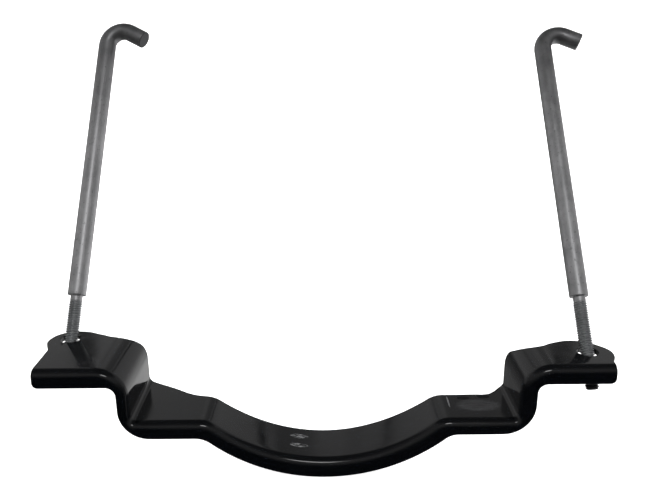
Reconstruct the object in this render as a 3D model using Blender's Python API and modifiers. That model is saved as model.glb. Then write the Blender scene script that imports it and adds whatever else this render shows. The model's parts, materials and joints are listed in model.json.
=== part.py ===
"""Saddle hold-down clamp: a pressed steel bracket with two hook bolts and their fasteners.

X runs along the bracket, +Y away from its front flange and +Z towards the hooks.
The origin is on the web's top face, at the lowest point of the saddle.
"""

import math

import bmesh
import bpy
from mathutils import Matrix, Vector

MM = 0.001                      # every length below is in millimetres
GAP = 0.15                      # clearance between stacked fasteners

# --- Bracket: the pressing seen from the front, as (X, Z) outlines -------------------
SHEET = 2.3
TAB_Z = 42.3                    # web's top face on the end tabs
TAB_BEND_R = 13.0               # tab to wall, on the web's top face
STEP_BEND_R = 4.0               # wall to ledge
SADDLE_BEND_R = 11.0            # ledge to saddle
SADDLE_R = 72.4
SEAT_HALF_WIDTH = 2.0           # the flat at the lowest point of the saddle
FLANGE_DROP = 7.9               # from the web's top face to the flange's edge under the saddle
FLANGE_TAB_Z = 34.6             # flange's lower edge on the end tabs
FLANGE_TAB_R = 4.0
FLANGE_END_R = 2.2              # lower corner at each end of the flange
CREASE_Y = -10.0                # where the web starts to turn into the flange
FLANGE_BEND_R = 3.5
END_X = 117.8
TRIM = 0.1                      # the end corners run this far past the trimmed end
SWEEP_END_X = 126.0             # the sheet is trimmed back from here
SWEEP_REAR_Y = 32.0
WALL_X = 80.0                   # inner face of the wall between ledge and tab
LEDGE_Z = 18.2

# The flange's lower edge differs slightly between the two halves of the pressing
LEFT_FLANGE = {"wall_x": 84.6, "ledge_z": 10.9, "step_r": 12.5, "saddle_r": 76.0, "bend_r": 10.0}
RIGHT_FLANGE = {"wall_x": 86.6, "ledge_z": 11.8, "step_r": 13.0, "saddle_r": 79.3, "bend_r": 8.0}

# Rear outline of the blank in plan, from the right end to the left end
REAR_OUTLINE = [
    (117.8, -8.2), (119.8, -4.4), (120.2, 1.4), (117.6, 5.8), (112.6, 10.0), (106.0, 11.8), (98.0, 9.6),
    (91.0, 6.4), (86.5, 8.2), (83.2, 11.9), (80.4, 16.0), (77.6, 14.8), (73.0, 9.6), (64.0, 8.9), (50.0, 8.8),
    (36.0, 10.3), (0.0, 10.4), (-36.0, 10.0), (-50.0, 9.2), (-57.0, 10.6), (-67.0, 16.7), (-77.0, 22.4),
    (-80.5, 24.4), (-84.0, 22.2), (-87.5, 20.0), (-92.0, 19.4), (-99.0, 22.3), (-108.0, 25.8),
    (-116.8, 24.0), (-120.8, 16.8), (-119.6, 11.0), (-117.8, 8.4),
]
HOLE_D = 9.2
MID_SHEET_Z = TAB_Z - SHEET / 2

# Straight segments in each arc of the pressing
SADDLE_STEPS = 14
SADDLE_BEND_STEPS = 6
STEP_BEND_STEPS = 8
TAB_BEND_STEPS = 10
FLANGE_END_STEPS = 4
FLANGE_BEND_STEPS = 6
REAR_CURVE_STEPS = 5            # between two points of the rear outline

BLANK_PRISM_HALF = 60.0         # cutters reach well past what they cut
HOLE_CUT_DEPTH = 12.0

# --- Hook bolts ----------------------------------------------------------------------
ROD_D = 8.0
THREAD_D = 5.9
NECK_D = 5.2
NECK_LEN = 2.0
REDUCED_LEN = 39.4              # neck and thread together, below the shoulder
SHANK_LEN = 129.5               # shoulder to the apex of the hook's centreline
HOOK_BEND_R = 7.5
HOOK_TURN_DEG = 117.0
HOOK_REACH = 17.9               # from the rod's axis to the tip, square to the axis
HOOK_BEND_STEPS = 12
END_CHAMFER = 0.7
SHOULDER_STEP = 0.25            # length over which the rod changes diameter
ROD_BEVEL_RESOLUTION = 6

# --- Fasteners, stacked under the tab and square to the rod --------------------------
STACK_TOP = 5.6                 # from the middle of the sheet along the rod to the flat washer
FLAT_WASHER_D = 11.0
FLAT_WASHER_T = 1.0
SPRING_WASHER_D = 10.6
SPRING_WASHER_T = 1.2
SPLIT_WIDTH = 0.9
SPLIT_LEAN_DEG = 35.0
BORE_D = 6.5
NUT_FLATS = 9.8
NUT_HEIGHT = 3.2
NUT_BORE_D = 6.4
FLAT_WASHER_SEGMENTS = 40
SPRING_WASHER_SEGMENTS = 36
BORE_SEGMENTS = 32

# Each bolt: the middle of its hole, its lean away from the flange, its lean towards +X, the turn of
# its hook about its own axis, and how far its shoulder stands above the middle of the sheet
BOLTS = {
    "left": {"x": -111.65, "y": 18.2, "back_deg": 29.9, "side_deg": 3.3, "aim_deg": -8.4, "shoulder": 20.3},
    "right": {"x": 110.3, "y": 0.8, "back_deg": 35.2, "side_deg": -1.6, "aim_deg": -3.0, "shoulder": 24.6},
}

BLACK_ENAMEL = ((0.012, 0.012, 0.014), 0.22, 0.0)
GREY_STEEL = ((0.23, 0.24, 0.25), 0.48, 1.0)
ZINC_PLATE = ((0.55, 0.56, 0.58), 0.35, 1.0)


def clear_scene():
    for obj in list(bpy.data.objects):
        bpy.data.objects.remove(obj, do_unlink=True)


def new_collection(name):
    collection = bpy.data.collections.new(name)
    bpy.context.scene.collection.children.link(collection)
    return collection


def principled(name, look):
    colour, roughness, metallic = look
    material = bpy.data.materials.new(name)
    material.use_nodes = True
    shader = material.node_tree.nodes["Principled BSDF"]
    shader.inputs["Base Color"].default_value = (*colour, 1.0)
    shader.inputs["Roughness"].default_value = roughness
    shader.inputs["Metallic"].default_value = metallic
    return material


def add_object(name, data, collection, material=None):
    obj = bpy.data.objects.new(name, data)
    collection.objects.link(obj)
    if material:
        data.materials.clear()
        data.materials.append(material)
    return obj


def mesh_object(name, bm, collection, material=None, sharp_deg=30):
    mesh = bpy.data.meshes.new(name)
    bm.to_mesh(mesh)
    bm.free()
    mesh.shade_smooth()
    mesh.set_sharp_from_angle(angle=math.radians(sharp_deg))
    return add_object(name, mesh, collection, material)


def hide_as_cutter(obj):
    obj.hide_render = True
    obj.display_type = "WIRE"


def add_boolean(obj, operation, cutter):
    modifier = obj.modifiers.new(operation.title() + " " + cutter.name, "BOOLEAN")
    modifier.operation = operation
    modifier.object = cutter


def arc(centre_x, centre_y, radius, start_deg, end_deg, steps):
    """Points along an arc, both ends included."""
    points = []
    for i in range(steps + 1):
        angle = math.radians(start_deg + (end_deg - start_deg) * i / steps)
        points.append((centre_x + radius * math.cos(angle), centre_y + radius * math.sin(angle)))
    return points


# --- Bracket -------------------------------------------------------------------------

def half_outline(saddle_r, bend_r, ledge_z, step_r, wall_x, tab_r, tab_z, drop, end_lift):
    """One half of a front-view outline, from the middle of the saddle to beyond the tab's end.

    drop lowers the saddle's lowest point, and end_lift is 1 where the end corner is rounded."""
    centre_z = saddle_r - drop
    reach = saddle_r + bend_r
    bend_z = ledge_z - bend_r
    bend_x = math.sqrt(reach ** 2 - (centre_z - bend_z) ** 2)
    tangent_deg = math.degrees(math.asin(bend_x / reach))
    points = [(SEAT_HALF_WIDTH, -drop)]
    points += arc(0.0, centre_z, saddle_r, -90.0, -90.0 + tangent_deg, SADDLE_STEPS)[1:]
    points += arc(bend_x, bend_z, bend_r, 90.0 + tangent_deg, 90.0, SADDLE_BEND_STEPS)[1:]
    step_x = wall_x - step_r
    points.append(((bend_x + step_x) / 2, ledge_z))
    points += arc(step_x, ledge_z + step_r, step_r, -90.0, 0.0, STEP_BEND_STEPS)
    points += arc(wall_x + tab_r, tab_z - tab_r, tab_r, 180.0, 90.0, TAB_BEND_STEPS)
    points.append(((wall_x + tab_r + END_X) / 2, tab_z))
    corner_x = END_X + TRIM - FLANGE_END_R
    for x, lift in arc(corner_x, FLANGE_END_R, FLANGE_END_R, -90.0, 0.0, FLANGE_END_STEPS):
        points.append((x, tab_z + lift * end_lift))
    points.append((SWEEP_END_X, points[-1][1]))
    return points


def both_halves(left, right):
    return [(-x, z) for x, z in reversed(left)] + right


def web_outline():
    half = half_outline(SADDLE_R, SADDLE_BEND_R, LEDGE_Z, STEP_BEND_R, WALL_X, TAB_BEND_R, TAB_Z, 0.0, 0.0)
    return both_halves(half, half)


def flange_outline():
    halves = [half_outline(half["saddle_r"], half["bend_r"], half["ledge_z"], half["step_r"], half["wall_x"],
                           FLANGE_TAB_R, FLANGE_TAB_Z, FLANGE_DROP, 1.0)
              for half in (LEFT_FLANGE, RIGHT_FLANGE)]
    return both_halves(*halves)


def section_rows():
    """Rows across the sheet as (Y, share of the way from the web down to the flange's edge)."""
    depth = TAB_Z - FLANGE_TAB_Z
    bend = [(y + CREASE_Y, (FLANGE_BEND_R - drop) / depth)
            for y, drop in arc(0.0, 0.0, FLANGE_BEND_R, 180.0, 90.0, FLANGE_BEND_STEPS)]
    return [(CREASE_Y - FLANGE_BEND_R, 1.0)] + bend + [(SWEEP_REAR_Y, 0.0)]


def swept_sheet():
    """The web and flange before trimming: a grid laid between the two front-view outlines."""
    web = web_outline()
    flange = flange_outline()
    rows = section_rows()
    columns = len(web) - 1
    bm = bmesh.new()
    bmesh.ops.create_grid(bm, x_segments=columns, y_segments=len(rows) - 1, size=1.0)
    for vert in bm.verts:
        column = round((vert.co.x + 1.0) / 2.0 * columns)
        y, share = rows[round((vert.co.y + 1.0) / 2.0 * (len(rows) - 1))]
        top = Vector(web[column])
        low = Vector(flange[column])
        x, z = top.lerp(low, share)
        vert.co = Vector((x, y, z)) * MM
    return bm


def curve_prism(name, points, collection):
    """A tall prism on a closed plan outline, made from a filled 2D curve."""
    curve = bpy.data.curves.new(name, "CURVE")
    curve.dimensions = "2D"
    curve.fill_mode = "BOTH"
    curve.extrude = BLANK_PRISM_HALF * MM
    curve.resolution_u = REAR_CURVE_STEPS
    spline = curve.splines.new("BEZIER")
    spline.bezier_points.add(len(points) - 1)
    spline.use_cyclic_u = True
    for point, (x, y, handle) in zip(spline.bezier_points, points):
        point.co = (x * MM, y * MM, 0.0)
        point.handle_left_type = handle
        point.handle_right_type = handle
    source = add_object(name + "_curve", curve, collection)
    bpy.context.view_layer.update()
    mesh = bpy.data.meshes.new_from_object(source.evaluated_get(bpy.context.evaluated_depsgraph_get()))
    bm = bmesh.new()
    bm.from_mesh(mesh)
    bmesh.ops.remove_doubles(bm, verts=bm.verts, dist=0.01 * MM)
    bmesh.ops.recalc_face_normals(bm, faces=bm.faces)
    bm.to_mesh(mesh)
    bm.free()
    prism = add_object(name, mesh, collection)
    prism.matrix_world = source.matrix_world
    bpy.data.objects.remove(source, do_unlink=True)
    hide_as_cutter(prism)
    return prism


def plan_outline():
    """The blank's whole outline: straight ends and front, and a smooth rear edge."""
    front_y = CREASE_Y - 2 * FLANGE_BEND_R
    last = len(REAR_OUTLINE) - 1
    points = [(-END_X, front_y, "VECTOR"), (END_X, front_y, "VECTOR")]
    for i, (x, y) in enumerate(REAR_OUTLINE):
        points.append((x, y, "VECTOR" if i in (0, last) else "AUTO"))
    return points


def hole_cutter(side, collection):
    bm = bmesh.new()
    bmesh.ops.create_cone(bm, cap_ends=True, segments=BORE_SEGMENTS, radius1=HOLE_D / 2 * MM,
                          radius2=HOLE_D / 2 * MM, depth=HOLE_CUT_DEPTH * MM)
    cutter = mesh_object(side + "_hole", bm, collection)
    cutter.location = Vector((BOLTS[side]["x"], BOLTS[side]["y"], MID_SHEET_Z)) * MM
    hide_as_cutter(cutter)
    return cutter


def make_bracket(parts, cutters, material):
    bracket = mesh_object("saddle_bracket", swept_sheet(), parts, material)
    solidify = bracket.modifiers.new("Sheet", "SOLIDIFY")
    solidify.thickness = SHEET * MM
    solidify.offset = -1.0
    solidify.use_even_offset = True
    add_boolean(bracket, "INTERSECT", curve_prism("blank_outline", plan_outline(), cutters))
    for side in BOLTS:
        add_boolean(bracket, "DIFFERENCE", hole_cutter(side, cutters))
    return bracket


# --- Hook bolts and fasteners --------------------------------------------------------

def bolt_frame(side, parts):
    """An empty where the bolt crosses the tab, its Z along the rod and its X near the bracket's X."""
    bolt = BOLTS[side]
    empty = bpy.data.objects.new(side + "_bolt_axis", None)
    empty.empty_display_size = 10.0 * MM
    parts.objects.link(empty)
    lean = Matrix.Rotation(math.radians(-bolt["back_deg"]), 4, "X")
    tilt = Matrix.Rotation(math.radians(bolt["side_deg"]), 4, "Y")
    place = Matrix.Translation(Vector((bolt["x"], bolt["y"], MID_SHEET_Z)) * MM)
    empty.matrix_world = place @ lean @ tilt
    return empty


def hook_route():
    """Centreline of the hook from the shank to the tip, in the rod's XZ plane, shoulder at Z = 0."""
    turn = math.radians(HOOK_TURN_DEG)
    bend_start = SHANK_LEN - HOOK_BEND_R
    bend = arc(HOOK_BEND_R, bend_start, HOOK_BEND_R, 180.0, 180.0 - HOOK_TURN_DEG, HOOK_BEND_STEPS)
    end_x, end_z = bend[-1]
    leg = (HOOK_REACH - end_x) / math.sin(turn)
    tip = (end_x + leg * math.sin(turn), end_z + leg * math.cos(turn))
    return bend, tip


def make_hook_bolt(side, empty, parts, material):
    """One rod: chamfered thread, neck, square shoulder, shank and hook, as a tapered curve."""
    bend, tip = hook_route()
    thread_r = THREAD_D / 2
    neck_r = NECK_D / 2
    rod_r = ROD_D / 2
    stations = [
        (0.0, -REDUCED_LEN, thread_r - END_CHAMFER), (0.0, -REDUCED_LEN + END_CHAMFER, thread_r),
        (0.0, -NECK_LEN - SHOULDER_STEP, thread_r), (0.0, -NECK_LEN, neck_r),
        (0.0, -SHOULDER_STEP, neck_r), (0.0, 0.0, rod_r),
    ]
    stations += [(x, z, rod_r) for x, z in bend]
    stations.append((*tip, rod_r))
    curve = bpy.data.curves.new(side + "_hook_bolt", "CURVE")
    curve.dimensions = "3D"
    curve.bevel_depth = rod_r * MM
    curve.bevel_resolution = ROD_BEVEL_RESOLUTION
    curve.use_fill_caps = True
    spline = curve.splines.new("POLY")
    spline.points.add(len(stations) - 1)
    for point, (x, z, radius) in zip(spline.points, stations):
        point.co = (x * MM, 0.0, z * MM, 1.0)
        point.radius = radius / rod_r
    rod = add_object(side + "_hook_bolt", curve, parts, material)
    rod.parent = empty
    rod.location = (0.0, 0.0, BOLTS[side]["shoulder"] * MM)
    rod.rotation_euler = (0.0, 0.0, math.radians(BOLTS[side]["aim_deg"]))
    return rod


def flat_ring(outer_d, inner_d, height, segments):
    """A washer about the Z axis with its top face at Z = 0."""
    bm = bmesh.new()
    base = Matrix.Translation((0.0, 0.0, -height * MM))
    for diameter in (outer_d, inner_d):
        bmesh.ops.create_circle(bm, segments=segments, radius=diameter / 2 * MM, matrix=base)
    bmesh.ops.bridge_loops(bm, edges=bm.edges)
    faces = bmesh.ops.extrude_face_region(bm, geom=bm.faces[:])
    bmesh.ops.translate(bm, vec=(0.0, 0.0, height * MM),
                        verts=[v for v in faces["geom"] if isinstance(v, bmesh.types.BMVert)])
    bmesh.ops.recalc_face_normals(bm, faces=bm.faces)
    return bm


def place_on_rod(obj, empty, depth):
    """Puts a fastener's top face that far below the middle of the sheet, along the rod."""
    obj.parent = empty
    obj.location = (0.0, 0.0, -depth * MM)


def make_flat_washer(side, empty, parts, material):
    bm = flat_ring(FLAT_WASHER_D, BORE_D, FLAT_WASHER_T, FLAT_WASHER_SEGMENTS)
    washer = mesh_object(side + "_flat_washer", bm, parts, material)
    place_on_rod(washer, empty, STACK_TOP)
    return washer


def make_spring_washer(side, empty, parts, cutters, material):
    bm = flat_ring(SPRING_WASHER_D, BORE_D, SPRING_WASHER_T, SPRING_WASHER_SEGMENTS)
    washer = mesh_object(side + "_spring_washer", bm, parts, material)
    place_on_rod(washer, empty, STACK_TOP + FLAT_WASHER_T + GAP)
    bm = bmesh.new()
    bmesh.ops.create_cube(bm, size=1.0)
    slot = Vector((SPRING_WASHER_D, SPLIT_WIDTH, 4 * SPRING_WASHER_T)) * MM
    lean = Matrix.Rotation(math.radians(SPLIT_LEAN_DEG), 3, "X")
    bmesh.ops.scale(bm, vec=slot, verts=bm.verts)
    bmesh.ops.rotate(bm, cent=(0.0, 0.0, 0.0), matrix=lean, verts=bm.verts)
    split = mesh_object(side + "_washer_split", bm, cutters)
    split.parent = washer
    split.location = (SPRING_WASHER_D / 2 * MM, 0.0, -SPRING_WASHER_T / 2 * MM)
    hide_as_cutter(split)
    add_boolean(washer, "DIFFERENCE", split)
    return washer


def make_nut(side, empty, parts, cutters, material):
    """A hexagonal prism with a plain bore in place of its thread."""
    bm = bmesh.new()
    corner_r = NUT_FLATS / 2 / math.cos(math.pi / 6)
    bmesh.ops.create_cone(bm, cap_ends=True, segments=6, radius1=corner_r * MM, radius2=corner_r * MM,
                          depth=NUT_HEIGHT * MM, matrix=Matrix.Translation((0.0, 0.0, -NUT_HEIGHT / 2 * MM)))
    nut = mesh_object(side + "_hex_nut", bm, parts, material)
    place_on_rod(nut, empty, STACK_TOP + FLAT_WASHER_T + SPRING_WASHER_T + 2 * GAP)
    bm = bmesh.new()
    bmesh.ops.create_cone(bm, cap_ends=True, segments=BORE_SEGMENTS, radius1=NUT_BORE_D / 2 * MM,
                          radius2=NUT_BORE_D / 2 * MM, depth=3 * NUT_HEIGHT * MM)
    bore = mesh_object(side + "_nut_bore", bm, cutters)
    bore.parent = nut
    bore.location = (0.0, 0.0, -NUT_HEIGHT / 2 * MM)
    hide_as_cutter(bore)
    add_boolean(nut, "DIFFERENCE", bore)
    return nut


def main():
    clear_scene()
    parts = new_collection("saddle_hold_down_clamp")
    cutters = new_collection("cutters")
    enamel = principled("black_enamel", BLACK_ENAMEL)
    make_bracket(parts, cutters, enamel)
    steel = principled("grey_steel", GREY_STEEL)
    zinc = principled("zinc_plate", ZINC_PLATE)
    for side in BOLTS:
        empty = bolt_frame(side, parts)
        make_hook_bolt(side, empty, parts, steel)
        make_flat_washer(side, empty, parts, zinc)
        make_spring_washer(side, empty, parts, cutters, zinc)
        make_nut(side, empty, parts, cutters, zinc)


main()
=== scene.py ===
import json
import math

import bmesh
import bpy
import numpy as np
from mathutils import Matrix, Vector


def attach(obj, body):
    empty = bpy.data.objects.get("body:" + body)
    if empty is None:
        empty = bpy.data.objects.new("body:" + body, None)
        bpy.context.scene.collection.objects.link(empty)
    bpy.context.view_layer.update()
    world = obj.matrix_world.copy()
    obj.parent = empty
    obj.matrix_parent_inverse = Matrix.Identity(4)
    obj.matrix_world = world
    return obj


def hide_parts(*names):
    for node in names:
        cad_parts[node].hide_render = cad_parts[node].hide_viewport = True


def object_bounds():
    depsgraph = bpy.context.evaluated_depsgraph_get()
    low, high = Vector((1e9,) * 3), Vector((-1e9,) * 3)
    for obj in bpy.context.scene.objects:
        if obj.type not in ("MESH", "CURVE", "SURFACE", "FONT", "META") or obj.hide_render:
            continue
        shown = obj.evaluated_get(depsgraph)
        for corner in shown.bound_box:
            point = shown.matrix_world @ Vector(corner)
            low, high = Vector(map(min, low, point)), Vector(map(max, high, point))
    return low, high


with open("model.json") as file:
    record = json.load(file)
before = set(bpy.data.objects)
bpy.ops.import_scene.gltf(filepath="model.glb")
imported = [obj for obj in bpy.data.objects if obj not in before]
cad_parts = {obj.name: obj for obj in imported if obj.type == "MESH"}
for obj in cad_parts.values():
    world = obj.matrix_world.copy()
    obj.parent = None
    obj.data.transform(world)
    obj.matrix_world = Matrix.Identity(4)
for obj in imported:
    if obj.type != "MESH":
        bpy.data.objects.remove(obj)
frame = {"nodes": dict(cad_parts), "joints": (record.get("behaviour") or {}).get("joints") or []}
cad_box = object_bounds()

# Looks of the saddle hold-down clamp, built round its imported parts: a gloss black pressed bracket,
# two grey steel hook bolts with real threads, and zinc washers and nuts.
# X runs along the bracket, +Y away from its front flange, +Z towards the hooks. Sizes are in mm.
MM = 0.001

# --- Bracket: the pressing seen from the front, as (X, Z) outlines -------------------
SHEET = 2.3
TAB_Z = 42.3                    # web's top face on the end tabs
LEDGE_Z = 18.2
WALL_X = 80.0                   # inner face of the wall between ledge and tab
END_X = 117.8
WEB = {"saddle_r": 72.4, "bend_r": 11.0, "ledge_z": LEDGE_Z, "step_r": 2.0,
       "wall_x": WALL_X, "tab_r": 13.0, "tab_z": TAB_Z, "drop": 0.0}
FLANGE_TAB = {"tab_r": 4.0, "tab_z": 34.6, "drop": 7.9}
LEFT_FLANGE = {"saddle_r": 76.0, "bend_r": 10.0, "ledge_z": 10.9, "step_r": 12.5, "wall_x": 84.6,
               **FLANGE_TAB}
RIGHT_FLANGE = {"saddle_r": 79.3, "bend_r": 8.0, "ledge_z": 11.8, "step_r": 13.0, "wall_x": 86.6,
                **FLANGE_TAB}
CREASE_Y = -10.0                # where the web starts to turn into the flange
BEND_R = 3.5                    # outside of the bend between web and flange
BEND_SHARE = 0.8                # the bend takes at most this much of the flange's depth
FLANGE_FLAT = 4.2               # flat of the flange below its bend, at the tabs
FLANGE_CORNER_R = 2.2
CORNER_ROOM = 2.6               # faces at the flange's ends are this long, to hold that corner
EDGE_ROUND = 0.22               # sheared edges under their enamel
SHEARED_ANGLE = math.radians(50.0)
HOLE_R = 4.5
HOLE_EDGE_SHARE = 0.3           # how much of that rounding a punched hole has
TAB_FLAT_X = WALL_X + WEB["tab_r"]

# Rear outline of the pressing in plan, from the right end to the left end
REAR_OUTLINE = [
    # right tab, with its round end
    (117.8, -8.2), (119.8, -4.4), (120.2, 1.4), (117.6, 5.8), (112.6, 10.0), (106.0, 11.8), (98.0, 9.6),
    # right wall and ledge
    (91.0, 6.4), (86.5, 8.2), (83.2, 11.9), (80.4, 16.0), (77.6, 14.8), (73.0, 9.6), (64.0, 8.9),
    # saddle
    (50.0, 8.8), (36.0, 10.3), (0.0, 10.4), (-36.0, 10.0), (-50.0, 9.2),
    # left ledge and wall
    (-57.0, 10.6), (-67.0, 16.7), (-77.0, 22.4), (-80.5, 24.4), (-84.0, 22.2), (-87.5, 20.0),
    # left tab, with its round end
    (-92.0, 19.4), (-99.0, 22.3), (-108.0, 25.8), (-116.8, 24.0), (-120.8, 16.8), (-119.6, 11.0),
    (-117.8, 8.4),
]
REAR_CURVE_STEPS = 12
WEB_ROWS = 13                   # rows of faces across the web
BEND_ROWS = 10
RING_ROWS = 5                   # rows of faces between a bolt hole and the tab's edge
TAB_EDGE_STEP = 1.1

# --- Hook bolts ----------------------------------------------------------------------
ROD_R = 4.0
SHANK_LEN = 129.5               # shoulder to the apex of the hook's centreline
HOOK_BEND_R = 7.5
HOOK_TURN = math.radians(117.0)
HOOK_HEADING = Vector((math.sin(HOOK_TURN), math.cos(HOOK_TURN)))
HOOK_REACH = 17.9
HOOK_BEND_STEPS = 28
SHOULDER_ROUND = 0.45
BEND_SQUASH = 0.055             # how far the rod flattens in the middle of its bend
# Rounded cut end of the hook: how far back each ring is, and how far in from the rod's side
END_RINGS = [(0.32, 0.0), (0.13, 0.06), (0.03, 0.18), (0.0, 0.36), (0.0, 1.4), (0.0, 2.8)]
NECK_R = 2.6
NECK_LEN = 2.0
REDUCED_LEN = 39.4
THREAD_R = 2.95                 # M6 x 1, rolled
THREAD_DEPTH = 0.56
PITCH = 1.0
RUN_OUT = 1.6                   # length over which the thread fades out below the neck
ROWS_PER_PITCH = 12
ROD_SIDES = 48
CREASE_ANGLE = math.radians(42.0)

# --- Fasteners -----------------------------------------------------------------------
WASHER_BORE_R = 3.25
FLAT_WASHER_R = 5.5
SPRING_WASHER_R = 5.3
NUT_FLATS_R = 4.9
NUT_FACE_R = 4.65               # round face left by the chamfers
NUT_CHAMFER = math.radians(30.0)
NUT_THREAD_CLEARANCE = 0.07
SPLIT_WIDTH = 0.9
SPLIT_LEAN = math.radians(35.0)
SIDES = ("left", "right")


def add_object(name, mesh, material, body, replaced, matrix=None):
    """A piece that stands for one CAD node and moves with its body."""
    obj = bpy.data.objects.new(name, mesh)
    bpy.context.scene.collection.objects.link(obj)
    if matrix is not None:
        obj.matrix_world = matrix
    mesh.materials.append(material)
    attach(obj, body)
    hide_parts(replaced)
    return obj


def arc(centre_x, centre_y, radius, start_deg, end_deg, steps):
    """Points along an arc, both ends included."""
    angles = np.radians(np.linspace(start_deg, end_deg, steps + 1))
    return [(centre_x + radius * math.cos(a), centre_y + radius * math.sin(a)) for a in angles]


def run(start, end, steps):
    """Points of a straight run, without its start."""
    return [tuple(p) for p in np.linspace(start, end, steps + 1)[1:]]


# --- Bracket -------------------------------------------------------------------------

def half_outline(saddle_r, bend_r, ledge_z, step_r, wall_x, tab_r, tab_z, drop):
    """One half of a front-view outline, from the middle of the saddle to the tab's end."""
    centre_z = saddle_r - drop
    reach = saddle_r + bend_r
    bend_z = ledge_z - bend_r
    bend_x = math.sqrt(reach ** 2 - (centre_z - bend_z) ** 2)
    tangent_deg = math.degrees(math.asin(bend_x / reach))
    step_x = wall_x - step_r
    points = arc(0.0, centre_z, saddle_r, -90.0, -90.0 + tangent_deg, 36)
    points += arc(bend_x, bend_z, bend_r, 90.0 + tangent_deg, 90.0, 10)[1:]
    points += run(points[-1], (step_x, ledge_z), 9)
    points += arc(step_x, ledge_z + step_r, step_r, -90.0, 0.0, 12)[1:]
    points += run(points[-1], (wall_x, tab_z - tab_r), 6)
    points += arc(wall_x + tab_r, tab_z - tab_r, tab_r, 180.0, 90.0, 18)[1:]
    points += run(points[-1], (END_X - CORNER_ROOM, tab_z), 13)
    points.append((END_X, tab_z))
    return points


def both_halves(left, right):
    """The whole outline from left to right, from two halves that both run outwards."""
    return np.array([(-x, z) for x, z in reversed(left[1:])] + right)


class Fold:
    """Carries points of the flat blank, at U along the web and V across it, to the folded sheet."""

    def __init__(self):
        half = half_outline(**WEB)
        self.web = both_halves(half, half)
        self.edge = both_halves(half_outline(**LEFT_FLANGE), half_outline(**RIGHT_FLANGE))
        steps = np.linalg.norm(np.diff(self.web, axis=0), axis=1)
        self.u = np.concatenate(([0.0], np.cumsum(steps)))
        self.u -= self.u[-1] / 2
        along = np.gradient(self.web, self.u, axis=0)
        along /= np.linalg.norm(along, axis=1)[:, None]
        self.up = np.stack((-along[:, 1], along[:, 0]), axis=1)
        self.tab_u = self.u[-1] - (END_X - TAB_FLAT_X)
        self.bend_arc = BEND_R * math.pi / 2
        self.edge_v = CREASE_Y - self.bend_arc - FLANGE_FLAT

    def at(self, table, u):
        """A column table read at U, running straight on past both ends."""
        clipped = np.clip(u, self.u[0], self.u[-1])
        columns = np.stack([np.interp(clipped, self.u, table[:, k]) for k in (0, 1)], axis=1)
        if table is not self.up:
            columns[:, 0] += u - clipped
        return columns

    def place(self, u, v, depth):
        """Points of the face that lies that deep under the web's top face."""
        u, v = np.asarray(u, float), np.asarray(v, float)
        web = self.at(self.web, u) - depth * self.at(self.up, u)
        edge = self.at(self.edge, u)
        fall = np.linalg.norm(edge - web, axis=1)
        radius = np.minimum(BEND_R - depth, BEND_SHARE * fall)
        angle = np.clip((CREASE_Y - v) / self.bend_arc, 0.0, 1.0) * math.pi / 2
        bend_share = radius / fall
        flat = np.clip((CREASE_Y - self.bend_arc - v) / FLANGE_FLAT, 0.0, 1.0)
        share = bend_share * (1.0 - np.cos(angle)) + (1.0 - bend_share) * flat
        y = np.where(v > CREASE_Y, v, CREASE_Y - (BEND_R - depth) * np.sin(angle))
        point = web + (edge - web) * share[:, None]
        return np.stack((point[:, 0], y, point[:, 1]), axis=1)


def rear_curve():
    """The blank's rear edge in plan, as a fine run of points from the right end to the left end."""
    curve = bpy.data.curves.new("rear_outline", "CURVE")
    curve.resolution_u = REAR_CURVE_STEPS
    spline = curve.splines.new("BEZIER")
    spline.bezier_points.add(len(REAR_OUTLINE) - 1)
    for i, (point, (x, y)) in enumerate(zip(spline.bezier_points, REAR_OUTLINE)):
        kind = "VECTOR" if i in (0, len(REAR_OUTLINE) - 1) else "AUTO"
        point.co = (x, y, 0.0)
        point.handle_left_type = kind
        point.handle_right_type = kind
    source = bpy.data.objects.new("rear_outline", curve)
    bpy.context.scene.collection.objects.link(source)
    bpy.context.view_layer.update()
    mesh = bpy.data.meshes.new_from_object(source.evaluated_get(bpy.context.evaluated_depsgraph_get()))
    points = np.array([v.co[:2] for v in mesh.vertices])
    bpy.data.objects.remove(source, do_unlink=True)
    bpy.data.meshes.remove(mesh)
    return points


def even_spacing(points, step):
    """The same line with its points about one step apart."""
    lengths = np.concatenate(([0.0], np.cumsum(np.linalg.norm(np.diff(points, axis=0), axis=1))))
    wanted = np.linspace(0.0, lengths[-1], max(2, round(lengths[-1] / step)) + 1)
    return np.stack([np.interp(wanted, lengths, points[:, k]) for k in (0, 1)], axis=1)


def add_grid(bm, grid):
    """Quads between the rows and columns of an array of (U, V) points."""
    rows = [[bm.verts.new((u, v, 0.0)) for u, v in row] for row in grid]
    for lower, upper in zip(rows, rows[1:]):
        for a, b, c, d in zip(lower, lower[1:], upper[1:], upper):
            bm.faces.new((a, b, c, d))


def tab_ring(side_sign, fold, rear, bolt_xy, columns):
    """Rings of points from the bolt hole out to the edges of one flat tab."""
    side = rear_row(fold, rear, side_sign * fold.tab_u)[::-1]
    crease = np.array([(u, CREASE_Y) for u in columns if side_sign * u > fold.tab_u - 1e-6])
    crease = crease if side_sign > 0 else crease[::-1]
    past = rear[side_sign * rear[:, 0] > TAB_FLAT_X]
    past = past if side_sign > 0 else past[::-1]
    end = np.array([(side_sign * END_X, CREASE_Y), *past, (side_sign * TAB_FLAT_X, side[0][1])])
    end = even_spacing(end, TAB_EDGE_STEP)
    end[:, 0] += side_sign * (fold.tab_u - TAB_FLAT_X)
    outer = np.concatenate((side[:-1], crease[:-1], end[:-1]))
    centre = np.array((bolt_xy[0] + side_sign * (fold.tab_u - TAB_FLAT_X), bolt_xy[1]))
    outward = outer - centre
    inner = centre + HOLE_R * outward / np.linalg.norm(outward, axis=1)[:, None]
    rings = [inner + (outer - inner) * k / RING_ROWS for k in range(RING_ROWS + 1)]
    return [np.concatenate((ring, ring[:1])) for ring in rings]


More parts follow.
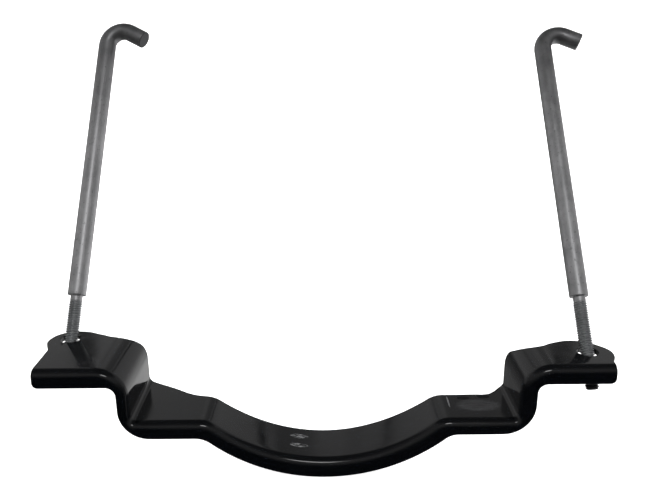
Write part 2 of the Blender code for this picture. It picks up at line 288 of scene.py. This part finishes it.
def rear_row(fold, rear, u):
    """Points from the crease back to the rear edge, at one place along the web."""
    x = fold.at(fold.web, np.array([u]))[0, 0]
    edge_y = np.interp(-x, -rear[:, 0], rear[:, 1])
    return np.array([(u, v) for v in np.linspace(CREASE_Y, edge_y, WEB_ROWS + 1)])


def flat_blank(fold, bolts):
    """The blank before folding: web, flange with its rounded corners, and two tabs with their holes."""
    rear = rear_curve()
    bm = bmesh.new()
    between = [u for u in fold.u if abs(u) < fold.tab_u + 1e-6]
    add_grid(bm, [rear_row(fold, rear, u) for u in between])
    flange_rows = np.concatenate((
        np.linspace(CREASE_Y, CREASE_Y - fold.bend_arc, BEND_ROWS + 1),
        [fold.edge_v + CORNER_ROOM, fold.edge_v],
    ))
    add_grid(bm, [[(u, v) for u in fold.u] for v in flange_rows])
    for sign, bolt_xy in ((-1, bolts["left"]), (1, bolts["right"])):
        add_grid(bm, tab_ring(sign, fold, rear, bolt_xy, fold.u))
    bmesh.ops.remove_doubles(bm, verts=bm.verts, dist=1e-4)
    ends = [v for v in bm.verts if abs(abs(v.co.x) - fold.u[-1]) < 1e-4]
    corners = [v for v in ends if abs(v.co.y - fold.edge_v) < 1e-4]
    bmesh.ops.bevel(bm, geom=corners, offset=FLANGE_CORNER_R, offset_type="OFFSET", affect="VERTICES",
                    segments=6, profile=0.5)
    return bm


def folded_mesh(fold, blank, hole_centres):
    """The two faces of the sheet and the sheared edge all round, with weights for rounding it."""
    blank.verts.index_update()
    flat = np.array([v.co[:2] for v in blank.verts])
    count = len(flat)
    top = fold.place(flat[:, 0], flat[:, 1], 0.0)
    under = fold.place(flat[:, 0], flat[:, 1], SHEET)
    faces = []
    for face in blank.faces:
        ring = [v.index for v in face.verts]
        faces.append(ring)
        faces.append([i + count for i in reversed(ring)])
    for edge in blank.edges:
        if len(edge.link_faces) == 1:
            a, b = (v.index for v in edge.verts)
            faces.append([a, b, b + count, a + count])
    mesh = bpy.data.meshes.new("bracket_pressing")
    mesh.from_pydata(np.concatenate((top, under)) * MM, [], faces)
    bm = bmesh.new()
    bm.from_mesh(mesh)
    bmesh.ops.recalc_face_normals(bm, faces=bm.faces)
    weights = bm.edges.layers.float.new("bevel_weight_edge")
    for edge in bm.edges:
        if edge.is_manifold and edge.calc_face_angle() > SHEARED_ANGLE:
            place = edge.verts[0].co.xy / MM
            at_hole = any(math.dist(centre, place) < HOLE_R + 0.1 for centre in hole_centres)
            edge[weights] = HOLE_EDGE_SHARE if at_hole else 1.0
    bm.to_mesh(mesh)
    bm.free()
    mesh.shade_smooth()
    return mesh


def make_bracket(bolts, material):
    fold = Fold()
    blank = flat_blank(fold, bolts)
    mesh = folded_mesh(fold, blank, bolts.values())
    blank.free()
    bracket = add_object("bracket_pressing", mesh, material, "bracket", "saddle_bracket")
    bevel = bracket.modifiers.new("Sheared edges", "BEVEL")
    bevel.width = EDGE_ROUND * MM
    bevel.segments = 3
    bevel.limit_method = "WEIGHT"
    bevel.use_clamp_overlap = False
    normals = bracket.modifiers.new("Flat faces stay flat", "WEIGHTED_NORMAL")
    normals.keep_sharp = True
    return bracket


# --- Turned and threaded pieces ------------------------------------------------------

def ring_mesh(name, rings, closed=False, cap_last=True):
    """A surface through rings of points: a loop of rings if closed, or else capped at its ends."""
    rings = np.asarray(rings)
    count, sides = rings.shape[:2]
    faces = []
    for i in range(count if closed else count - 1):
        j = (i + 1) % count
        for k in range(sides):
            m = (k + 1) % sides
            faces.append((i * sides + k, i * sides + m, j * sides + m, j * sides + k))
    if not closed:
        faces.append(tuple(range(sides)))
    if not closed and cap_last:
        faces.append(tuple(range((count - 1) * sides, count * sides)))
    mesh = bpy.data.meshes.new(name)
    mesh.from_pydata(rings.reshape(-1, 3) * MM, [], faces)
    bm = bmesh.new()
    bm.from_mesh(mesh)
    bmesh.ops.recalc_face_normals(bm, faces=bm.faces)
    bm.to_mesh(mesh)
    bm.free()
    mesh.shade_smooth()
    mesh.set_sharp_from_angle(angle=CREASE_ANGLE)
    return mesh


def thread_profile(turns):
    """Depth share of a rolled thread, 0 on the crest and 1 in the root, at turns along the helix."""
    phase = np.abs(turns - np.floor(turns) - 0.5) * 2.0
    flank = np.clip((phase - 0.16) / 0.66, 0.0, 1.0)
    return flank * flank * (3.0 - 2.0 * flank) * 0.45 + flank * 0.55


def circle(radius, z, sides):
    """A level ring; radius is one number or one for each side."""
    angles = np.arange(sides) * 2.0 * math.pi / sides
    return np.stack((radius * np.cos(angles), radius * np.sin(angles), np.broadcast_to(z, sides)), axis=1)


def thread_rings(start_z, end_z, crest_r, depth, shape):
    """Level rings of a right-hand thread. shape trims the radii of the ring at a height."""
    angles = np.arange(ROD_SIDES) / ROD_SIDES
    rows = round(abs(end_z - start_z) / PITCH * ROWS_PER_PITCH)
    rings = []
    for z in np.linspace(start_z, end_z, rows + 1):
        cut = thread_profile(z / PITCH - angles)
        rings.append(circle(shape(z, crest_r - depth * cut), z, ROD_SIDES))
    return rings


def bolt_thread_rings(low_z, high_z):
    """Rings from the chamfered tip up to the run-out below the neck."""

    def shape(z, threaded):
        tip = NECK_R - 0.35 + (z - low_z)
        fade = np.clip((high_z - z) / RUN_OUT, 0.0, 1.0)
        blend = NECK_R + (threaded - NECK_R) * fade
        return np.minimum(blend, tip)

    return thread_rings(low_z, high_z, THREAD_R, THREAD_DEPTH, shape)


def on_bend(bend_z, turn):
    """Where the hook's centreline is after that much of its bend, as (X, Z) in the rod's frame."""
    return Vector((HOOK_BEND_R * (1.0 - math.cos(turn)), bend_z + HOOK_BEND_R * math.sin(turn)))


def hook_rings(shoulder_z):
    """Rings from the shoulder up the shank, round the bend and out to the cut end."""
    rings = []
    for share in np.linspace(0.0, 1.0, 5):
        turn = share * math.pi / 2
        radius = ROD_R - SHOULDER_ROUND * (1.0 - math.sin(turn))
        rings.append(circle(radius, shoulder_z + SHOULDER_ROUND * (1.0 - math.cos(turn)), ROD_SIDES))
    bend_z = shoulder_z + SHANK_LEN - HOOK_BEND_R
    rings += [circle(ROD_R, z, ROD_SIDES) for z in np.linspace(shoulder_z + 2.0, bend_z, 40)]
    angles = np.arange(ROD_SIDES) * 2.0 * math.pi / ROD_SIDES

    def cross_section(x, z, turn, radius, squash=0.0):
        """Squash narrows the rod in the plane of the bend and widens it across."""
        across = radius * (1.0 - squash) * np.cos(angles)
        aside = radius * (1.0 + squash * 0.6) * np.sin(angles)
        return np.stack((x + across * math.cos(turn), aside, z - across * math.sin(turn)), axis=1)

    for share in np.linspace(0.0, 1.0, HOOK_BEND_STEPS + 1)[1:]:
        turn = share * HOOK_TURN
        squash = BEND_SQUASH * math.sin(math.pi * share) ** 0.8
        x, z = on_bend(bend_z, turn)
        rings.append(cross_section(x, z, turn, ROD_R, squash))
    start = on_bend(bend_z, HOOK_TURN)
    leg = (HOOK_REACH - start.x) / HOOK_HEADING.x
    for back, inset in [(leg - 0.8, 0.0)] + END_RINGS:
        x, z = start + HOOK_HEADING * (leg - back)
        rings.append(cross_section(x, z, HOOK_TURN, ROD_R - inset))
    return rings


def make_hook_bolt(side, rod, material):
    shoulder_z = rod["shoulder_z"]
    neck_z = shoulder_z - NECK_LEN
    tip_z = shoulder_z - REDUCED_LEN
    rings = [circle(r, tip_z, ROD_SIDES) for r in (0.8, NECK_R - 0.9)]
    rings.append(circle(NECK_R - 0.5, tip_z + 0.08, ROD_SIDES))
    rings += bolt_thread_rings(tip_z + 0.25, neck_z)
    rings += [circle(NECK_R, z, ROD_SIDES) for z in np.linspace(neck_z + 0.3, shoulder_z - 0.35, 4)]
    for wider, below in ((0.06, 0.16), (0.2, 0.04), (0.5, 0.0)):
        rings.append(circle(NECK_R + wider, shoulder_z - below, ROD_SIDES))
    rings += hook_rings(shoulder_z)
    mesh = ring_mesh(side + "_hook", rings)
    matrix = rod["matrix"] @ Matrix.Rotation(rod["aim"], 4, "Z")
    return add_object(side + "_hook", mesh, material, side + "_hook_bolt",
                      side + "_hook_bolt", matrix)


def rounded_section(inner_r, outer_r, low_z, high_z, round_r, steps=4):
    """(radius, height) points round a ring's section, its corners rounded."""
    points = []
    for centre_r, centre_z, start in ((outer_r - round_r, high_z - round_r, 0.0),
                                      (inner_r + round_r, high_z - round_r, 90.0),
                                      (inner_r + round_r, low_z + round_r, 180.0),
                                      (outer_r - round_r, low_z + round_r, 270.0)):
        points += arc(centre_r, centre_z, round_r, start, start + 90.0, steps)
    return points


def make_flat_washer(side, rod, material):
    low_z, high_z = rod["spans"]["flat_washer"]
    section = rounded_section(WASHER_BORE_R, FLAT_WASHER_R, low_z, high_z, 0.22)
    mesh = ring_mesh(side + "_washer", [circle(r, z, 64) for r, z in section], closed=True)
    return add_object(side + "_washer", mesh, material, side + "_flat_washer",
                      side + "_flat_washer", rod["matrix"])


def make_spring_washer(side, rod, material):
    """A rounded bar bent nearly all the way round, with a leaning split on +X."""
    low_z, high_z = rod["spans"]["spring_washer"]
    middle_r = (WASHER_BORE_R + SPRING_WASHER_R) / 2
    section = np.array(rounded_section(WASHER_BORE_R, SPRING_WASHER_R, low_z, high_z, 0.2, steps=3))
    gap = SPLIT_WIDTH / middle_r / math.cos(SPLIT_LEAN)
    lean = np.tan(SPLIT_LEAN) * (section[:, 1] - (low_z + high_z) / 2) / middle_r
    rings = []
    for share in np.linspace(0.0, 1.0, 73):
        angles = gap / 2 + share * (2.0 * math.pi - gap) - lean
        radii, heights = section[:, 0], section[:, 1]
        rings.append(np.stack((radii * np.cos(angles), radii * np.sin(angles), heights), axis=1))
    mesh = ring_mesh(side + "_lock_washer", rings)
    return add_object(side + "_lock_washer", mesh, material, side + "_spring_washer",
                      side + "_spring_washer", rod["matrix"])


def make_nut(side, rod, material):
    """A chamfered hexagon with a real thread in its bore."""
    low_z, high_z = rod["spans"]["hex_nut"]
    sides = ROD_SIDES
    angles = np.arange(sides) * 2.0 * math.pi / sides
    from_flat = (angles + math.pi / 6) % (math.pi / 3) - math.pi / 6
    hexagon = NUT_FLATS_R / np.cos(math.pi / 6 - np.abs(from_flat))
    corner_round = hexagon - 0.1 * np.exp(-(from_flat / 0.06) ** 2)
    fall = (corner_round - NUT_FACE_R) * math.tan(NUT_CHAMFER)
    crest_r = THREAD_R + NUT_THREAD_CLEARANCE
    mouth_r = crest_r + 0.12

    def shape(z, threaded):
        from_end = min(z - low_z, high_z - z)
        return np.maximum(threaded, mouth_r - from_end)

    rings = thread_rings(low_z, high_z, crest_r, THREAD_DEPTH, shape)
    rings.append(circle(NUT_FACE_R - 0.3, high_z, sides))
    rings.append(circle(NUT_FACE_R, high_z - 0.03, sides))
    rings.append(circle(corner_round, high_z - 0.05 - fall, sides))
    rings.append(circle(corner_round, low_z + 0.05 + fall, sides))
    rings.append(circle(NUT_FACE_R, low_z + 0.03, sides))
    rings.append(circle(NUT_FACE_R - 0.3, low_z, sides))
    mesh = ring_mesh(side + "_nut", rings, closed=True)
    return add_object(side + "_nut", mesh, material, side + "_nut",
                      side + "_hex_nut", rod["matrix"])


def read_rod(side):
    """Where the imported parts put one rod: its frame, its hook's aim, its shoulder and each piece's span."""
    joints = {j["name"]: j for j in frame["joints"]}
    origin = Vector(joints[side + "_bolt_swing"]["pos_m"])
    axis = Vector(joints[side + "_bolt_draw"]["axis"]).normalized()
    back = math.atan2(axis.y, axis.z)
    tilt = math.asin(axis.x)
    matrix = Matrix.Translation(origin) @ Matrix.Rotation(-back, 4, "X") @ Matrix.Rotation(tilt, 4, "Y")
    to_rod = np.array(matrix.inverted())
    spans = {}
    for part in ("hook_bolt", "flat_washer", "spring_washer", "hex_nut"):
        node = frame["nodes"][f"{side}_{part}"]
        points = np.array([v.co for v in node.data.vertices]) @ to_rod[:3, :3].T + to_rod[:3, 3]
        points /= MM
        spans[part] = (points[:, 2].min(), points[:, 2].max())
        if part == "hook_bolt":
            tip = points[points[:, 0].argmax()]
            reached = points[points[:, 0] > tip[0] - 1.0].mean(axis=0)
            aim = math.atan2(reached[1], reached[0])
    shoulder_z = spans["hook_bolt"][1] - SHANK_LEN - ROD_R
    return {"matrix": matrix, "aim": aim, "spans": spans, "shoulder_z": shoulder_z}


# --- Materials -----------------------------------------------------------------------

# Marks in the enamel, and one painted reflection on the right ledge, each a centre and a reach
SADDLE_RUBS = [((-11.2, 4.1, 0.8), (4.6, 2.0, 3.0)), ((-11.2, -2.9, 0.8), (4.8, 1.7, 3.0))]
LEDGE_SCRATCH = ((53.3, 2.6, 18.2), (0.40, 5.4, 2.0))
LEDGE_REFLECTION_PATCH = ((65.5, -0.6, 18.2), (11.0, 5.6, 4.0))
LEDGE_SMEARS = [((60.3, 5.6, 18.2), (3.6, 1.7, 3.0)), ((69.3, 6.6, 18.2), (3.4, 1.9, 3.0))]


class Nodes:
    """Short calls for building one node tree. place is the coordinate that textures use."""

    def __init__(self, tree, coordinate):
        self.nodes = tree.nodes
        self.links = tree.links
        self.place = self.nodes.new("ShaderNodeTexCoord").outputs[coordinate]

    def put(self, socket, value):
        if isinstance(value, bpy.types.NodeSocket):
            self.links.new(value, socket)
        else:
            socket.default_value = value

    def math(self, operation, *values, clamp=False):
        node = self.nodes.new("ShaderNodeMath")
        node.operation = operation
        node.use_clamp = clamp
        for socket, value in zip(node.inputs, values):
            self.put(socket, value)
        return node.outputs[0]

    def scaled(self, scale, offset=(0.0, 0.0, 0.0), rotation=(0.0, 0.0, 0.0)):
        node = self.nodes.new("ShaderNodeMapping")
        self.put(node.inputs["Vector"], self.place)
        node.inputs["Scale"].default_value = scale
        node.inputs["Location"].default_value = offset
        node.inputs["Rotation"].default_value = rotation
        return node.outputs[0]

    def noise(self, scale, detail=4.0, roughness=0.55, vector=None, distortion=0.0):
        node = self.nodes.new("ShaderNodeTexNoise")
        self.put(node.inputs["Vector"], vector or self.place)
        node.inputs["Scale"].default_value = scale
        node.inputs["Detail"].default_value = detail
        node.inputs["Roughness"].default_value = roughness
        node.inputs["Distortion"].default_value = distortion
        return node.outputs["Fac"]

    def cells(self, scale, vector=None):
        node = self.nodes.new("ShaderNodeTexVoronoi")
        self.put(node.inputs["Vector"], vector or self.place)
        node.inputs["Scale"].default_value = scale
        return node.outputs["Distance"]

    def spread(self, value, low, high, out_low=0.0, out_high=1.0):
        """Maps low..high smoothly to out_low..out_high."""
        node = self.nodes.new("ShaderNodeMapRange")
        node.interpolation_type = "SMOOTHSTEP"
        for socket, number in zip(node.inputs, (value, low, high, out_low, out_high)):
            self.put(socket, number)
        return node.outputs[0]

    def blend(self, share, a, b):
        node = self.nodes.new("ShaderNodeMix")
        node.data_type = "RGBA"
        colours = {socket.name: socket for socket in node.inputs if socket.type == "RGBA"}
        self.put(node.inputs["Factor"], share)
        self.put(colours["A"], a)
        self.put(colours["B"], b)
        return [socket for socket in node.outputs if socket.type == "RGBA"][0]

    def steps(self, value, stops):
        """A number read off straight lines between (value, result) stops; values run from -1 to 1."""
        node = self.nodes.new("ShaderNodeValToRGB")
        self.put(node.inputs[0], self.math("MULTIPLY_ADD", value, 0.5, 0.5))
        elements = node.color_ramp.elements
        while len(elements) < len(stops):
            elements.new(0.5)
        for element, (position, result) in zip(elements, stops):
            element.position = (position + 1.0) / 2.0
            element.color = (result, result, result, 1.0)
        return node.outputs["Color"]

    def parts(self):
        """The coordinate's X, Y and Z."""
        node = self.nodes.new("ShaderNodeSeparateXYZ")
        self.put(node.inputs[0], self.place)
        return node.outputs

    def bump(self, height, distance, strength=1.0, under=None):
        node = self.nodes.new("ShaderNodeBump")
        node.inputs["Strength"].default_value = strength
        node.inputs["Distance"].default_value = distance
        self.put(node.inputs["Height"], height)
        if under:
            self.put(node.inputs["Normal"], under)
        return node.outputs[0]

    def near(self, centre, reach, soft=0.35):
        """1 inside an ellipsoid about a point of the piece, fading to 0 at its skin. Sizes in mm."""
        scale = tuple(1.0 / (r * MM) for r in reach)
        offset = tuple(-c / r for c, r in zip(centre, reach))
        node = self.nodes.new("ShaderNodeVectorMath")
        node.operation = "LENGTH"
        self.put(node.inputs[0], self.scaled(scale, offset))
        return self.spread(node.outputs["Value"], 1.0, 1.0 - soft)


class Shader(Nodes):
    """The nodes of one material."""

    def __init__(self, name):
        self.material = bpy.data.materials.new(name)
        self.material.use_nodes = True
        super().__init__(self.material.node_tree, "Object")

    def finish(self, **inputs):
        for name, value in inputs.items():
            self.put(self.nodes["Principled BSDF"].inputs[name.replace("_", " ")], value)
        return self.material


def enamel():
    """Gloss black enamel over a pressing: orange peel, haze, a few rubbed places, and a mottled lighter patch
    on the right ledge that is a painted reflection.
    """
    s = Shader("black_enamel_looks")
    haze = s.noise(38.0, 5.0, 0.6)
    specks = s.spread(s.noise(2600.0, 2.0), 0.70, 0.78)
    streaks = s.noise(1.0, 4.0, 0.7, s.scaled((260.0, 1300.0, 700.0), rotation=(0.0, 0.0, 0.3)))
    rubbed = s.math("MAXIMUM", *(s.near(*place) for place in SADDLE_RUBS))
    rubbed = s.math("MULTIPLY", rubbed, s.spread(streaks, 0.44, 0.60))
    scratch = s.near(*LEDGE_SCRATCH)
    # Mottled lighter colour on the right ledge: a painted reflection of its uneven surface, with no change in
    # roughness
    reflection_patch = s.math("MULTIPLY", s.near(*LEDGE_REFLECTION_PATCH), s.spread(s.noise(150.0, 5.0), 0.30, 0.60))
    smears = s.math("MAXIMUM", *(s.near(*place) for place in LEDGE_SMEARS))
    worn = s.math("MAXIMUM", rubbed, s.math("MULTIPLY", scratch, 0.7))
    worn = s.math("MAXIMUM", worn, s.math("MULTIPLY", specks, 0.25))
    base = s.blend(haze, (0.0004, 0.0006, 0.0010, 1.0), (0.0010, 0.0013, 0.0018, 1.0))
    colour = s.blend(s.math("MULTIPLY", reflection_patch, 0.8), base, (0.021, 0.022, 0.023, 1.0))
    colour = s.blend(worn, colour, (0.13, 0.133, 0.137, 1.0))
    roughness = s.spread(haze, 0.30, 0.72, 0.07, 0.17)
    roughness = s.math("MULTIPLY_ADD", worn, 0.4, roughness)
    roughness = s.math("MULTIPLY_ADD", smears, 0.6, roughness, clamp=True)
    sag = s.bump(s.noise(55.0, 2.0), 0.00012, 0.5)
    peel = s.bump(s.noise(620.0, 2.0), 0.000006, 1.0, sag)
    return s.finish(Base_Color=colour, Roughness=roughness, Normal=peel)


def rod_steel(side, shoulder_z):
    """Mottled grey drawn steel: blotches, lengthwise lines, pits, painted shade darkening the rod towards the
    hook's top, a dark cut end, and a duller thread with its tip darkened as painted shade."""
    s = Shader(side + "_rod_steel_looks")
    x, z = s.parts()["X"], s.parts()["Z"]
    blotch = s.noise(95.0, 6.0, 0.62, distortion=0.4)
    grain = s.noise(1.0, 5.0, 0.65, s.scaled((2400.0, 2400.0, 130.0)))
    pits = s.spread(s.noise(900.0, 3.0), 0.60, 0.74)
    pale = s.blend(s.spread(blotch, 0.32, 0.68), (0.42, 0.42, 0.43, 1.0), (0.64, 0.64, 0.65, 1.0))
    pale = s.blend(s.math("MULTIPLY", grain, 0.35), pale, (0.20, 0.20, 0.205, 1.0))
    pale = s.blend(s.math("MULTIPLY", pits, 0.5), pale, (0.12, 0.12, 0.125, 1.0))

    neck_z = shoulder_z - NECK_LEN
    below_neck = s.spread(z, (neck_z - 0.1) * MM, (neck_z - 0.9) * MM)
    thread = s.blend(blotch, (0.34, 0.35, 0.36, 1.0), (0.52, 0.53, 0.54, 1.0))
    colour = s.blend(below_neck, pale, thread)
    # Darker thread tip below the nut: painted shade, standing in for the shadow under the tab
    tip_z = shoulder_z - REDUCED_LEN
    tip_shade = s.spread(z, (tip_z + 4.5) * MM, (tip_z + 3.2) * MM)
    colour = s.blend(s.math("MULTIPLY", tip_shade, 0.95), colour, (0.010, 0.010, 0.011, 1.0))

    # Darker towards the hook's top, from the upper shank over the bend: painted shade
    bend_z = shoulder_z + SHANK_LEN - HOOK_BEND_R
    scale = s.spread(z, (bend_z - 55.0) * MM, (bend_z + 6.0) * MM, 0.0, 0.70)
    colour = s.blend(scale, colour, (0.15, 0.15, 0.155, 1.0))
    start = on_bend(bend_z, HOOK_TURN)
    end = start + HOOK_HEADING * (HOOK_REACH - start.x) / HOOK_HEADING.x
    end_along = end.dot(HOOK_HEADING) * MM
    along = s.math("ADD", s.math("MULTIPLY", x, HOOK_HEADING.x), s.math("MULTIPLY", z, HOOK_HEADING.y))
    past_end = s.spread(along, end_along - 0.25 * MM, end_along - 0.1 * MM)
    cut_face = s.math("MULTIPLY", past_end, s.spread(x, 14.0 * MM, 15.0 * MM))
    colour = s.blend(s.math("MULTIPLY", cut_face, 0.85), colour, (0.030, 0.030, 0.032, 1.0))

    roughness = s.spread(blotch, 0.3, 0.7, 0.36, 0.50)
    roughness = s.math("ADD", roughness, s.math("MULTIPLY", pits, 0.12))
    lines = s.bump(grain, 0.00003, 0.5)
    dents = s.bump(s.noise(210.0, 4.0), 0.00010, 0.5, lines)
    return s.finish(Base_Color=colour, Roughness=roughness, Metallic=0.95, Normal=dents)


def zinc():
    """Dull zinc plate: clouding, faint crystals and rubbing marks."""
    s = Shader("zinc_plate_looks")
    crystals = s.cells(1500.0)
    cloud = s.noise(260.0, 5.0, 0.6)
    colour = s.blend(cloud, (0.30, 0.31, 0.33, 1.0), (0.52, 0.53, 0.55, 1.0))
    colour = s.blend(s.spread(crystals, 0.35, 0.75), colour, (0.38, 0.39, 0.42, 1.0))
    roughness = s.spread(cloud, 0.3, 0.7, 0.28, 0.45)
    rub = s.bump(s.noise(1.0, 4.0, 0.6, s.scaled((3500.0, 500.0, 3500.0))), 0.00002, 0.6)
    return s.finish(Base_Color=colour, Roughness=roughness, Metallic=1.0, Normal=rub)


# --- Studio --------------------------------------------------------------------------

# Sizes in metres
FLOOR_R = 3.0
WALL_BEND_R = 0.6
WALL_HEIGHT = 3.0
FLOOR_GLOW = 0.72
FLOOR_GAP = 0.0003              # floor below the pressing's lowest edge
CAMERA_AT = (0.0006, -0.273, 0.1752)
CAMERA_PITCH = math.radians(17.7)
CAMERA_ROLL = math.radians(0.49)
CAMERA_LENS = 39.94             # mm, on a 36 mm sensor

# The room's brightness by height, from -1 straight down to 1 straight up
ROOM_BEHIND = [(-1.0, 0.3), (-0.5, 0.9), (-0.30, 1.0), (-0.18, 0.80), (0.0, 0.45), (0.27, 0.42), (0.40, 0.40),
               (0.60, 0.40), (0.74, 0.10), (1.0, 0.08)]
ROOM_IN_FRONT = [(-1.0, 0.005), (-0.2, 0.015), (0.05, 0.10), (0.40, 0.30), (0.62, 0.32), (0.78, 0.18),
                 (1.0, 0.06)]
# How much of that the far side keeps, by X over Y of the direction
ROOM_PANELS = [(-1.0, 0.95), (-0.388, 0.95), (-0.376, 0.22), (-0.354, 0.22), (-0.342, 0.95), (-0.24, 0.92),
               (-0.20, 0.84), (-0.15, 0.88), (-0.11, 1.0), (0.02, 1.0), (0.10, 0.64), (0.27, 0.52),
               (0.31, 0.92), (0.338, 0.92), (0.348, 0.05), (0.372, 0.05), (0.386, 1.1), (1.0, 1.1)]
ROOM_DARK = (0.02, 0.02, 0.02, 1.0)


def make_floor(level):
    """A round pale floor that turns up into a wall. It glows evenly, and reflections leave it out."""
    wall_foot_r = FLOOR_R - WALL_BEND_R
    profile = [(wall_foot_r, 0.0)]
    profile += arc(wall_foot_r, WALL_BEND_R, WALL_BEND_R, -90.0, 0.0, 12)[1:]
    profile.append((FLOOR_R, WALL_HEIGHT))
    rings = np.array([circle(r / MM, z / MM, 96) for r, z in profile])
    mesh = ring_mesh("floor", rings, cap_last=False)
    floor = bpy.data.objects.new("floor", mesh)
    bpy.context.scene.collection.objects.link(floor)
    floor.location.z = level
    s = Shader("pale_floor")
    tone = s.blend(s.noise(3.0), (0.86, 0.86, 0.86, 1.0), (0.90, 0.90, 0.90, 1.0))
    glow = {"Emission_Color": (1.0, 1.0, 1.0, 1.0), "Emission_Strength": FLOOR_GLOW}
    mesh.materials.append(s.finish(Base_Color=tone, Roughness=0.8, **glow))
    floor.visible_glossy = False


def add_softbox(name, target, towards, distance, size, radiance, in_reflections=True):
    """A rectangular lamp that far from the target, facing it."""
    light = bpy.data.lights.new(name, "AREA")
    light.shape = "RECTANGLE"
    light.size, light.size_y = size
    light.energy = radiance * math.pi * size[0] * size[1]
    lamp = bpy.data.objects.new(name, light)
    bpy.context.scene.collection.objects.link(lamp)
    direction = Vector(towards).normalized()
    lamp.location = Vector(target) + direction * distance
    lamp.rotation_mode = "QUATERNION"
    lamp.rotation_quaternion = direction.to_track_quat("Z", "Y")
    lamp.visible_glossy = in_reflections
    return lamp


def make_world():
    """A pale room, seen in the enamel: bright low behind, dim higher up, dark in front and below, with
    a few darker panels on the far side."""
    world = bpy.data.worlds.new("studio")
    bpy.context.scene.world = world
    world.use_nodes = True
    w = Nodes(world.node_tree, "Generated")
    x, y, z = (w.parts()[axis] for axis in "XYZ")
    behind = w.steps(z, ROOM_BEHIND)
    in_front = w.steps(z, ROOM_IN_FRONT)
    low_left = w.math("MULTIPLY", w.spread(z, 0.1, -0.05), w.spread(x, 0.08, -0.2))
    behind = w.blend(w.math("MULTIPLY", low_left, 0.86), behind, ROOM_DARK)
    level_ahead = w.math("MULTIPLY", w.spread(z, 0.22, 0.08), w.spread(z, -0.37, -0.30))
    level_ahead = w.math("MULTIPLY", w.spread(w.math("ABSOLUTE", x), 0.42, 0.32), level_ahead)
    behind = w.blend(w.math("MULTIPLY", level_ahead, 0.9), behind, ROOM_DARK)
    slant = w.math("DIVIDE", x, w.math("MAXIMUM", y, 0.05))
    shade = w.math("SUBTRACT", 1.0, w.steps(slant, ROOM_PANELS))
    behind = w.blend(w.math("MULTIPLY", w.spread(z, 0.1, 0.2), shade), behind, ROOM_DARK)
    both = w.blend(w.spread(y, -0.3, 0.15), in_front, behind)
    w.put(w.nodes["Background"].inputs["Color"], both)


def make_camera():
    """Level with the hooks and looking a little down at the saddle, turned clockwise by a hair."""
    data = bpy.data.cameras.new("camera")
    data.sensor_width = 36.0
    data.lens = CAMERA_LENS
    data.clip_start = 0.01
    camera = bpy.data.objects.new("camera", data)
    bpy.context.scene.collection.objects.link(camera)
    look = Matrix.Rotation(math.pi / 2 - CAMERA_PITCH, 4, "X") @ Matrix.Rotation(-CAMERA_ROLL, 4, "Z")
    camera.matrix_world = Matrix.Translation(CAMERA_AT) @ look
    bpy.context.scene.camera = camera


def make_studio():
    low, high = cad_box
    target = Vector(((low.x + high.x) / 2, 0.02, 0.04))
    make_floor(low.z - FLOOR_GAP)
    make_world()
    add_softbox("key_softbox", target, (0.06, -0.73, 0.68), 0.9, (0.24, 0.11), 10.0)
    add_softbox("floor_fill", target, (0.0, 0.1, 1.0), 1.6, (2.6, 2.6), 0.9, in_reflections=False)
    make_camera()
    bpy.context.scene.view_settings.view_transform = "Standard"


def main():
    rods = {side: read_rod(side) for side in SIDES}
    bolts = {side: tuple(np.array(rods[side]["matrix"].translation)[:2] / MM) for side in SIDES}
    make_bracket(bolts, enamel())
    plate = zinc()
    for side, rod in rods.items():
        make_hook_bolt(side, rod, rod_steel(side, rod["shoulder_z"]))
        make_flat_washer(side, rod, plate)
        make_spring_washer(side, rod, plate)
        make_nut(side, rod, plate)
    make_studio()


main()
